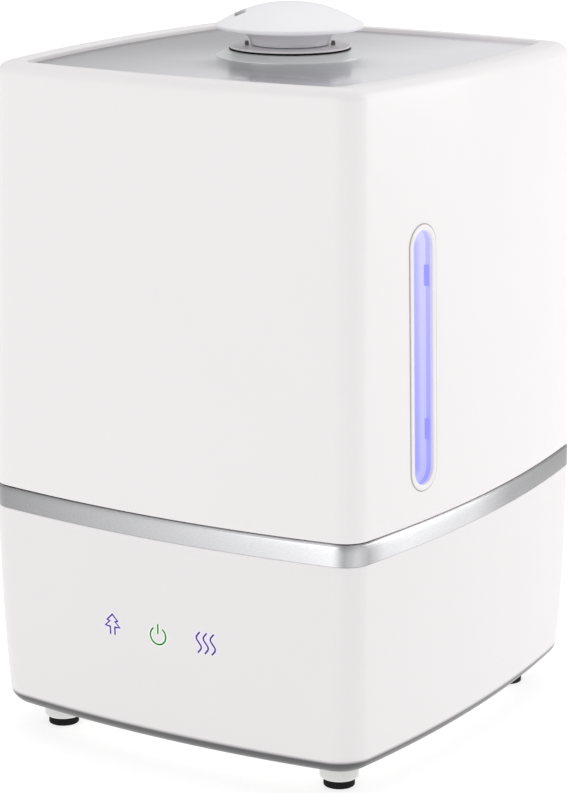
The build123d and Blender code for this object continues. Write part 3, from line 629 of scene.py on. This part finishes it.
def base_ring(inset, z):
    down, tuck, bow = base_shape(z)
    corner = max(CORNER + BASE_CORNER_GROWTH * down * down - inset, 3 * MM)
    half_x = HALF_X - tuck - inset
    half_y = HALF_Y - tuck - inset
    return at_height(outline(half_x, half_y, SIDE_BOW * bow, FRONT_BOW * bow, corner), z)


def tank_lean(z):
    return TANK_DRAFT * (z - TANK_LOW.z) / (TANK_HIGH.z - TANK_LOW.z)


def tank_ring(inset, z):
    lean = tank_lean(z)
    scale = 1 - lean / HALF_X
    corner = max(CORNER - inset, 3 * MM)
    half_x = HALF_X - lean - inset
    half_y = HALF_Y - lean - inset
    return at_height(outline(half_x, half_y, SIDE_BOW * scale, FRONT_BOW * scale, corner), z)


def deck_ring(inset, z):
    """The outline of the recess that the deck lies in, moved in by inset, at height z."""
    half_x = DECK_HIGH.x + DECK_GAP - inset
    half_y = DECK_HIGH.y + DECK_GAP - inset
    corner = max(DECK_CORNER - inset, 3 * MM)
    return at_height(outline(half_x, half_y, DECK_SIDE_BOW, DECK_FRONT_BOW, corner), z)


def round_ring(radius, z, like):
    """A circle with one point for each point of an outline, in the same direction."""
    return [(radius * math.cos(math.atan2(y, x)), radius * math.sin(math.atan2(y, x)), z) for x, y, _ in like]


def steps_between(low, high, count):
    return [low + (high - low) * step / count for step in range(count + 1)]


def make_base_housing():
    """Down the outer wall, in under the bottom edge, through the cover's rebate, and up the inner wall."""
    bottom = BASE_LOW.z
    top = BASE_HIGH.z
    rebate_top = bottom + COVER_THICKNESS
    floor_top = bottom + BASE_FLOOR
    rings = [base_ring(0.3 * MM, top), base_ring(0.08 * MM, top - 0.08 * MM), base_ring(0.0, top - 0.3 * MM)]
    rings += [base_ring(0.0, z) for z in steps_between(top - 1 * MM, bottom + BASE_EDGE, 20)]
    for inset, rise in arc((BASE_EDGE, BASE_EDGE), BASE_EDGE, 180, 270, 10)[1:]:
        rings.append(base_ring(inset, bottom + rise))
    rings += [slab_ring(COVER_REBATE - 0.3 * MM, bottom), slab_ring(COVER_REBATE, bottom + 0.3 * MM)]
    rings += [slab_ring(COVER_REBATE, rebate_top), slab_ring(COVER_OPENING, rebate_top)]
    rings += [slab_ring(COVER_OPENING, floor_top), base_ring(BASE_WALL + 4 * MM, floor_top)]
    rings.append(base_ring(BASE_WALL + 1.2 * MM, floor_top + 1.2 * MM))
    rings += [base_ring(BASE_WALL, z) for z in steps_between(floor_top + 4 * MM, top, 8)]
    housing = skin("base_housing", rings, "base_white", "base", ["base_shell"])
    centre = (INLET_LOW + INLET_HIGH) / 2
    backwards = Matrix.Translation((centre.x, 0, centre.z)) @ Matrix.Rotation(math.radians(-90), 4, "X")
    hole = arc((0, 0), INLET_HOLE, 0, 360, 64)[:-1]
    cut(housing, *prism(hole, backwards, HALF_Y - 16 * MM, HALF_Y + 2 * MM))


def make_silver_band():
    """A profile of (inset, rise above the base) in millimetres, with softened edges and a chamfered top."""
    low = BAND_LOW.z + BAND_LEG
    leg = -BAND_LEG / MM
    profile = [(0.3, 0.0), (0.08, 0.08), (0.0, 0.3), (0.0, 4.2), (0.0, 7.75), (0.07, 7.95), (0.75, 8.62),
               (0.95, 8.7), (2.9, 8.7), (3.0, 8.6), (3.0, 4.8), (4.1, 4.8), (4.1, leg), (2.5, leg),
               (2.5, 0.0)]
    rings = [slab_ring(inset * MM, low + rise * MM) for inset, rise in profile]
    skin("silver_band", rings, "silver_band", "base", ["trim_band"], 28.0)


def make_tank_housing():
    """Up the outer wall, over the rim, across the deck's seat to the chimney's hole, down the inner wall."""
    low = TANK_LOW.z
    top = TANK_HIGH.z
    seat = DECK_LOW.z
    plate = seat - TANK_PLATE
    rings = [tank_ring(0.7 * MM, low), tank_ring(0.2 * MM, low + 0.2 * MM), tank_ring(0.0, low + 0.7 * MM)]
    rings += [tank_ring(0.0, z) for z in steps_between(low + 2 * MM, top - TANK_EDGE, 40)]
    for inset, rise in arc((TANK_EDGE, -TANK_EDGE), TANK_EDGE, 180, 90, 10)[1:]:
        rings.append(tank_ring(inset, top + rise))
    rings += [deck_ring(-0.7 * MM, top), deck_ring(-0.2 * MM, top - 0.15 * MM)]
    rings.append(deck_ring(0.0, top - 0.6 * MM))
    seat_ring = deck_ring(0.0, seat)
    rings += [seat_ring, round_ring(CHIMNEY_HOLE, seat, seat_ring)]
    rings.append(round_ring(CHIMNEY_HOLE, plate, seat_ring))
    rings += [tank_ring(TANK_WALL, z) for z in steps_between(plate, low, 10)]
    housing = skin("tank_housing", rings, "white_shell", "tank", ["tank_shell"])
    hole = stadium((WINDOW_WIDTH + 2 * WINDOW_GAP) * MM, (WINDOW_HEIGHT + 2 * WINDOW_GAP) * MM)
    cut(housing, *prism(hole, window_place(), -7 * MM, 6 * MM))


def make_deck():
    """The glossy plate: a sheet with softened edges and a hole for the nozzle."""
    top = DECK_HIGH.z
    low = DECK_LOW.z
    rings = [deck_ring(DECK_GAP, low), deck_ring(DECK_GAP, top - 0.25 * MM)]
    rings.append(deck_ring(DECK_GAP + 0.08 * MM, top - 0.08 * MM))
    outer = deck_ring(DECK_GAP + 0.25 * MM, top)
    rings += [outer, deck_ring(DECK_GAP + 0.6 * MM, top), round_ring(DECK_HOLE + 0.2 * MM, top, outer)]
    rings += [round_ring(DECK_HOLE, top - 0.05 * MM, outer), round_ring(DECK_HOLE, low, outer)]
    skin("deck_plate", rings, "deck", "tank", ["deck_panel"])


# ================================================================ mist nozzle, in millimetres

DECK_TOP = DECK_HIGH.z / MM
SEAT_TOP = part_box("outlet_ring")[1].z / MM
SEAT_RADIUS = 29.7
PLUG_LOW = 262.0                # the flange's plug goes down into the mist outlet
PLUG_RADIUS = 15.4
PLUG_BORE = 13.0
FLANGE_LOW = 276.75
FLANGE_TOP = 277.6
FLANGE_RADIUS = 24.4
SEAL_LOW = 276.1
LUG_DISTANCE = 17.3
NECK_LOW = 258.5
NECK_RADIUS = 12.95
NECK_BORE = 11.4
FLARE_LOW = 278.1
FLARE_RADIUS = 15.6
FLARE_HEIGHT = 5.9
DOME_RADIUS = 29.7
DOME_LOW = 284.3
DOME_SHOULDER = 286.1
DOME_TOP = 294.7
DOME_INSIDE = 292.7
DOME_BORE = 27.5                # the neck's rim fits inside the dome here
SLOT_TURN = math.radians(212.0)     # where the mist slot points at rest
SLOT_DISTANCE = 19.8


def turned(angle, x=0.0, y=0.0, z=0.0):
    """A place turned about the nozzle's axis."""
    return Matrix.Rotation(angle, 4, "Z") @ Matrix.Translation((x * MM, y * MM, z * MM))


def make_nozzle_seat():
    """The low cone that rises from the deck to the flange."""
    profile = [(16.3, DECK_TOP - 1.5), (18.4, DECK_TOP - 1.5), (18.4, DECK_TOP), (SEAT_RADIUS, DECK_TOP)]
    profile += [(29.68, DECK_TOP + 0.14), (29.5, DECK_TOP + 0.26), (25.3, SEAT_TOP - 0.32)]
    profile += [(24.9, SEAT_TOP - 0.12), (24.4, SEAT_TOP), (16.5, SEAT_TOP), (16.3, SEAT_TOP - 0.2)]
    lathe("nozzle_seat", profile, "seat_silver", "tank", ["outlet_ring"])


def make_flange():
    """A thin disc on a plug, with a black seal under it and two lugs that hold the turning head."""
    profile = [(PLUG_BORE, PLUG_LOW + 0.3), (13.3, PLUG_LOW), (15.1, PLUG_LOW), (PLUG_RADIUS, PLUG_LOW + 0.3)]
    profile += [(PLUG_RADIUS, FLANGE_LOW), (24.2, FLANGE_LOW), (FLANGE_RADIUS, 276.9), (FLANGE_RADIUS, 277.3)]
    profile += [(24.3, 277.5), (24.0, FLANGE_TOP), (13.4, FLANGE_TOP), (PLUG_BORE, FLANGE_TOP - 0.3)]
    # The flange's white carries painted shade from the dome above it.
    lathe("nozzle_flange", profile, "flange_white_painted_shade", "nozzle_base", ["nozzle_collar"])
    for index, turn in enumerate((SLOT_TURN, SLOT_TURN - math.pi)):
        rings = []
        for inset, rise in ((0.0, -0.1), (0.0, 1.1), (0.12, 1.35), (0.4, 1.5)):
            shape = rounded_rectangle(1.6 - 2 * inset, 4.5 - 2 * inset, 0.42)
            rings.append([turned(turn, LUG_DISTANCE + x, y, FLANGE_TOP + rise).translation for x, y in shape])
        # The lugs' dark colour is painted shade.
        add_object("collar_lug_%d" % index, *capped(rings), "lug_grey", "nozzle_base")
    seal = [(15.5, SEAL_LOW), (24.3, SEAL_LOW), (24.45, SEAL_LOW + 0.15), (24.45, FLANGE_LOW - 0.15)]
    seal += [(24.3, FLANGE_LOW - 0.03), (15.5, FLANGE_LOW - 0.03)]
    lathe("nozzle_seal", seal, "rubber", "nozzle_base", ["nozzle_gasket"])


def make_neck():
    """A tube that turns in the plug, flares above the flange and ends in the rim that carries the dome."""
    profile = [(NECK_BORE, NECK_LOW + 0.2), (11.6, NECK_LOW), (12.8, NECK_LOW), (13.6, 260.0), (13.6, 261.4)]
    profile += [(NECK_RADIUS, 261.8), (NECK_RADIUS, 277.9), (15.3, 277.9), (15.5, FLARE_LOW)]
    for step in range(1, 15):
        share = step / 14
        profile.append((FLARE_RADIUS + 1.9 * share + 3.4 * share ** 3, FLARE_LOW + FLARE_HEIGHT * share))
    profile += [(21.4, 284.5), (22.2, 284.9), (27.2, 284.9), (27.4, 285.1), (27.4, DOME_SHOULDER)]
    profile += [(17.0, DOME_SHOULDER), (NECK_BORE, 279.5)]
    lathe("nozzle_stem", profile, "nozzle_white", "nozzle_head", ["nozzle_neck"])


def dome_fall(share):
    """How far the dome has dropped at this share of its radius, from 0 at the middle to 1 at the rim."""
    return 0.62 * share ** 2 + 0.62 * share ** 3 - 0.24 * share ** 5


def make_dome():
    """The turning cap: a shallow dome with a rolled rim and one slot for the mist."""
    shoulder_radius = DOME_RADIUS - 0.15
    inner_radius = DOME_BORE - 1.0
    seat = DOME_SHOULDER + 0.05
    profile = [(0.0, DOME_TOP)]
    for step in range(1, 33):
        share = step / 32
        profile.append((shoulder_radius * share, DOME_TOP - (DOME_TOP - DOME_SHOULDER) * dome_fall(share)))
    profile += [(29.68, 285.95), (DOME_RADIUS, 285.5), (29.66, 284.9), (29.5, 284.6), (29.2, 284.4)]
    profile += [(28.8, DOME_LOW), (27.75, DOME_LOW), (DOME_BORE, 284.5), (DOME_BORE, seat)]
    profile.append((inner_radius, seat))
    for step in range(1, 21):
        share = 1 - step / 20
        profile.append((inner_radius * share, DOME_INSIDE - (DOME_INSIDE - seat) * dome_fall(share)))
    dome = lathe("nozzle_dome", profile, "nozzle_white", "nozzle_head", ["nozzle_cap"], 40.0)
    slot = [(x * MM, y * MM) for x, y in rounded_rectangle(4.5, 15.0, 1.2)]
    cut(dome, *prism(slot, turned(SLOT_TURN, SLOT_DISTANCE), 285 * MM, 297 * MM), smooth_angle=40.0)


# ================================================================ water window, in millimetres

WINDOW_WIDTH = 17.0
WINDOW_HEIGHT = 103.3
WINDOW_GAP = 0.125              # between the frame and the hole in the tank
WINDOW_RIM = 2.35
TRAY_WIDTH = WINDOW_WIDTH - 2 * WINDOW_RIM
TRAY_HEIGHT = WINDOW_HEIGHT - 2 * WINDOW_RIM
TRAY_FLOOR = -3.3
TRAY_BACK = -5.5
CLIP_HEIGHTS = (-29.0, 31.0)


def window_place():
    """The window's own frame: X to the back along the wall, Y up the wall, Z straight out of it."""
    low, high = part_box("window_bezel")
    y = (low.y + high.y) / 2
    z = (low.z + high.z) / 2
    end_y = HALF_Y - FRONT_BOW
    x = HALF_X - tank_lean(z) - SIDE_BOW * (y / end_y) ** 2
    out = Vector((1, 2 * SIDE_BOW * y / end_y ** 2, TANK_DRAFT / (TANK_HIGH.z - TANK_LOW.z))).normalized()
    along = (Vector((0, 1, 0)) - out * out.y).normalized()
    up = out.cross(along)
    return Matrix.Translation((x, y, z)) @ Matrix((along, up, out)).transposed().to_4x4()


def window_rings(width, height, levels):
    """Stadium rings in the wall, from levels of (growth each side, distance out of the wall)."""
    place = window_place()
    rings = []
    for grow, out in levels:
        shape = stadium((width + 2 * grow) * MM, (height + 2 * grow) * MM, 32)
        rings.append([place @ Vector((x, y, out * MM)) for x, y in shape])
    return rings


def make_window_frame():
    """A thin white frame round the tray, set in the hole in the tank."""
    levels = [(0.0, -1.0), (0.0, 0.05), (-0.12, 0.26), (-0.35, 0.35), (0.5 - WINDOW_RIM, 0.30)]
    levels += [(0.15 - WINDOW_RIM, 0.12), (-WINDOW_RIM, -0.2), (-WINDOW_RIM, -1.0)]
    rings = window_rings(WINDOW_WIDTH, WINDOW_HEIGHT, levels)
    skin("window_frame", rings, "white_shell", "tank", ["window_bezel"])


def make_window_tray():
    """A clear tray let into the wall: its walls are darker by painted shade and its slanted edges lighter by
    painted highlight than its flat faces.
    """
    middle = -TRAY_WIDTH / 2
    levels = [(0.0, -1.05), (0.0, -3.0), (-0.12, -3.2), (-0.4, TRAY_FLOOR), (middle, TRAY_FLOOR)]
    levels += [(middle, TRAY_BACK), (3.7, TRAY_BACK), (3.7, -4.1), (1.2, -4.1), (1.2, -1.05)]
    rings = window_rings(TRAY_WIDTH, TRAY_HEIGHT, levels)
    tray = skin("window_tray", rings, "clear_violet", "tank", ["window_lens"])
    tray.data.materials.append(MATERIALS["wall_violet_painted_shade"])
    tray.data.materials.append(MATERIALS["edge_violet_painted_highlight"])
    out = window_place().to_3x3() @ Vector((0, 0, 1))
    # Painted shade and highlight: each face takes its glow by the way it faces out of the wall.
    for face in tray.data.polygons:
        level = abs(face.normal.dot(out))
        face.material_index = 1 if level < 0.4 else 2 if level < 0.97 else 0


def make_window_line():
    """A grey ring in the frame's joint with the tank: painted shade of the narrow gap between them."""
    levels = [(0.4, -0.9), (0.4, 0.03), (0.35, 0.07), (0.025, 0.07), (-0.025, 0.04), (-0.025, -0.9)]
    skin("window_line", window_rings(WINDOW_WIDTH, WINDOW_HEIGHT, levels), "joint_painted_shade", "tank")


def make_window_clips():
    inner = TRAY_WIDTH / 2 - 0.62
    outer = inner + 0.6
    for index, up in enumerate(CLIP_HEIGHTS):
        corners = ((inner, up - 4), (outer, up - 4), (outer, up + 4), (inner, up + 4))
        shape = [(x * MM, y * MM) for x, y in corners]
        solid = prism(shape, window_place(), -3.25 * MM, -1.3 * MM)
        replaced = ["window_clips"] if index == 0 else ()
        add_object("window_clip_%d" % index, *solid, "clip_violet", "tank", replaced)


# ================================================================ touch icons, in millimetres

ICON_HEIGHT = 57.5
ICON_PITCH = 22.0
ICON_LINE = 0.70                # width of a printed line
ICON_HALO = 1.7                 # width of the glow round it
MITRE_LIMIT = 0.62              # keeps sharp corners of a line from running out


def stroke(points, width):
    """Left and right edges of a line of given width through points, in one plane."""
    left, right = [], []
    for before, here, after in zip(points[:1] + points, points, points[1:] + points[-1:]):
        back = Vector(here) - Vector(before)
        onward = Vector(after) - Vector(here)
        first = (back if back.length else onward).normalized()
        forward = (first + onward.normalized()).normalized()
        side = Vector((-forward.y, forward.x)) * width / 2 / max(MITRE_LIMIT, forward.dot(first))
        left.append(Vector(here) + side)
        right.append(Vector(here) - side)
    return left, right


def front_point(point, proud):
    """A point of (x, z) on the base housing's front face, or that far out of it."""
    x = point.x * MM
    z = point.y * MM
    _, tuck, share = base_shape(z)
    bow = FRONT_BOW * share
    end_x = HALF_X - tuck - SIDE_BOW * share
    radius = (end_x ** 2 + bow ** 2) / (2 * bow)
    y = -(HALF_Y - tuck - radius) - math.sqrt(radius ** 2 - x ** 2)
    return (x, y - proud * MM, z)


def make_icon(name, lines, width, material, lift, replaced=()):
    """Strokes printed on the front face: each is a thin strip that follows the face."""
    strips = []
    for points in lines:
        rings = []
        for left, right in zip(*stroke(points, width)):
            rings.append([front_point(left, lift), front_point(right, lift),
                          front_point(right, -0.05), front_point(left, -0.05)])
        strips.append(capped(rings))
    add_object(name, *joined(strips), material, "base", replaced)


def softened(points, reach_at_right_angle, steps=8):
    """The same path with its inner corners rounded off."""
    path = [points[0]]
    for before, here, after in zip(points, points[1:], points[2:]):
        middle = Vector(here)
        back = (Vector(before) - middle).normalized()
        onward = (Vector(after) - middle).normalized()
        reach = reach_at_right_angle / math.tan(back.angle(onward) / 2)
        for step in range(steps + 1):
            share = step / steps
            point = (middle + back * reach) * (1 - share) ** 2 + middle * 2 * share * (1 - share)
            point += (middle + onward * reach) * share ** 2
            path.append(tuple(point))
    return path + [points[-1]]


def make_icons():
    """A tree, a power sign and three rising waves, in a row at one height on the front."""
    half_tree = [(0.0, 4.3), (2.6, 1.8), (1.3, 1.4), (3.5, -0.7), (1.1, -0.9), (1.1, -4.1)]
    tree = [(-x, y) for x, y in reversed(half_tree[1:])] + half_tree
    ring = arc((0.0, -0.6), 3.6, 125, 415, 40)
    bar = [(0.0, 4.2), (0.0, 0.2)]
    waves = [softened([(x + 0.5, 4.3), (x - 1.5, 1.9), (x + 1.5, -1.9), (x - 0.5, -4.3)], 1.7)
             for x in (-3.15, 0.0, 3.15)]
    signs = {"tree": (-ICON_PITCH, [tree], "violet"), "power": (0.0, [ring, bar], "green"),
             "mist": (ICON_PITCH, waves, "violet")}
    for name, (x, lines, colour) in signs.items():
        moved = [[(x + px, ICON_HEIGHT + pz) for px, pz in line] for line in lines]
        make_icon(name + "_sign", moved, ICON_LINE, "icon_" + colour, 0.06, ["icon_" + name])
        make_icon(name + "_sign_glow", moved, ICON_HALO, colour + "_glow", 0.03)


# ================================================================ springs

VALVE_COIL_RADIUS = 3.4 * MM
VALVE_WIRE = 0.35 * MM          # radius of the wire
TOUCH_COIL_RADIUS = 3.25 * MM
TOUCH_WIRE = 0.3 * MM


def coil(name, place, radius, wire, length, turns, body, replaced=(), steps=28, sides=8):
    """A wire coil from the place's origin along its Z; its last half turn at each end lies flat."""
    rings = []
    for index in range(int(turns * steps) + 1):
        turn = index / steps
        share = min(1.0, max(0.0, (turn - 0.5) / (turns - 1.0)))
        angle = 2 * math.pi * turn
        out = Vector((math.cos(angle), math.sin(angle), 0))
        middle = out * radius + Vector((0, 0, wire + (length - 2 * wire) * share))
        ring = []
        for side in range(sides):
            around = 2 * math.pi * side / sides
            rise = Vector((0, 0, wire * math.sin(around)))
            ring.append(place @ (middle + out * wire * math.cos(around) + rise))
        rings.append(ring)
    return add_object(name, *capped(rings), "steel", body, replaced, 60.0)


def make_valve_coil():
    """The spring that shuts the tank's valve."""
    low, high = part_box("valve_spring")
    bottom = Vector(((low.x + high.x) / 2, (low.y + high.y) / 2, low.z))
    length = high.z - low.z
    spring = coil("valve_coil", Matrix.Translation(bottom), VALVE_COIL_RADIUS, VALVE_WIRE, length, 5.5, None,
                  ["valve_spring"])
    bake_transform(spring)


def make_touch_coils():
    """A coil behind each icon, from its circuit board to the front wall."""
    low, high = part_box("touch_springs")
    height = (low.z + high.z) / 2
    length = high.y - low.y
    for index, x in enumerate((-ICON_PITCH, 0.0, ICON_PITCH)):
        place = Matrix.Translation((x * MM, low.y, height)) @ Matrix.Rotation(math.radians(-90), 4, "X")
        replaced = ["touch_springs"] if index == 0 else ()
        coil("touch_coil_%d" % index, place, TOUCH_COIL_RADIUS, TOUCH_WIRE, length, 6.0, "base", replaced)


MATERIALS = make_materials()
make_camera()
make_world()
make_lights()
make_floor()
set_view()
paint_cad_nodes()
make_base_housing()
make_silver_band()
make_tank_housing()
make_deck()
make_nozzle_seat()
make_flange()
make_neck()
make_dome()
make_window_frame()
make_window_tray()
make_window_line()
make_window_clips()
make_icons()
make_valve_coil()
make_touch_coils()
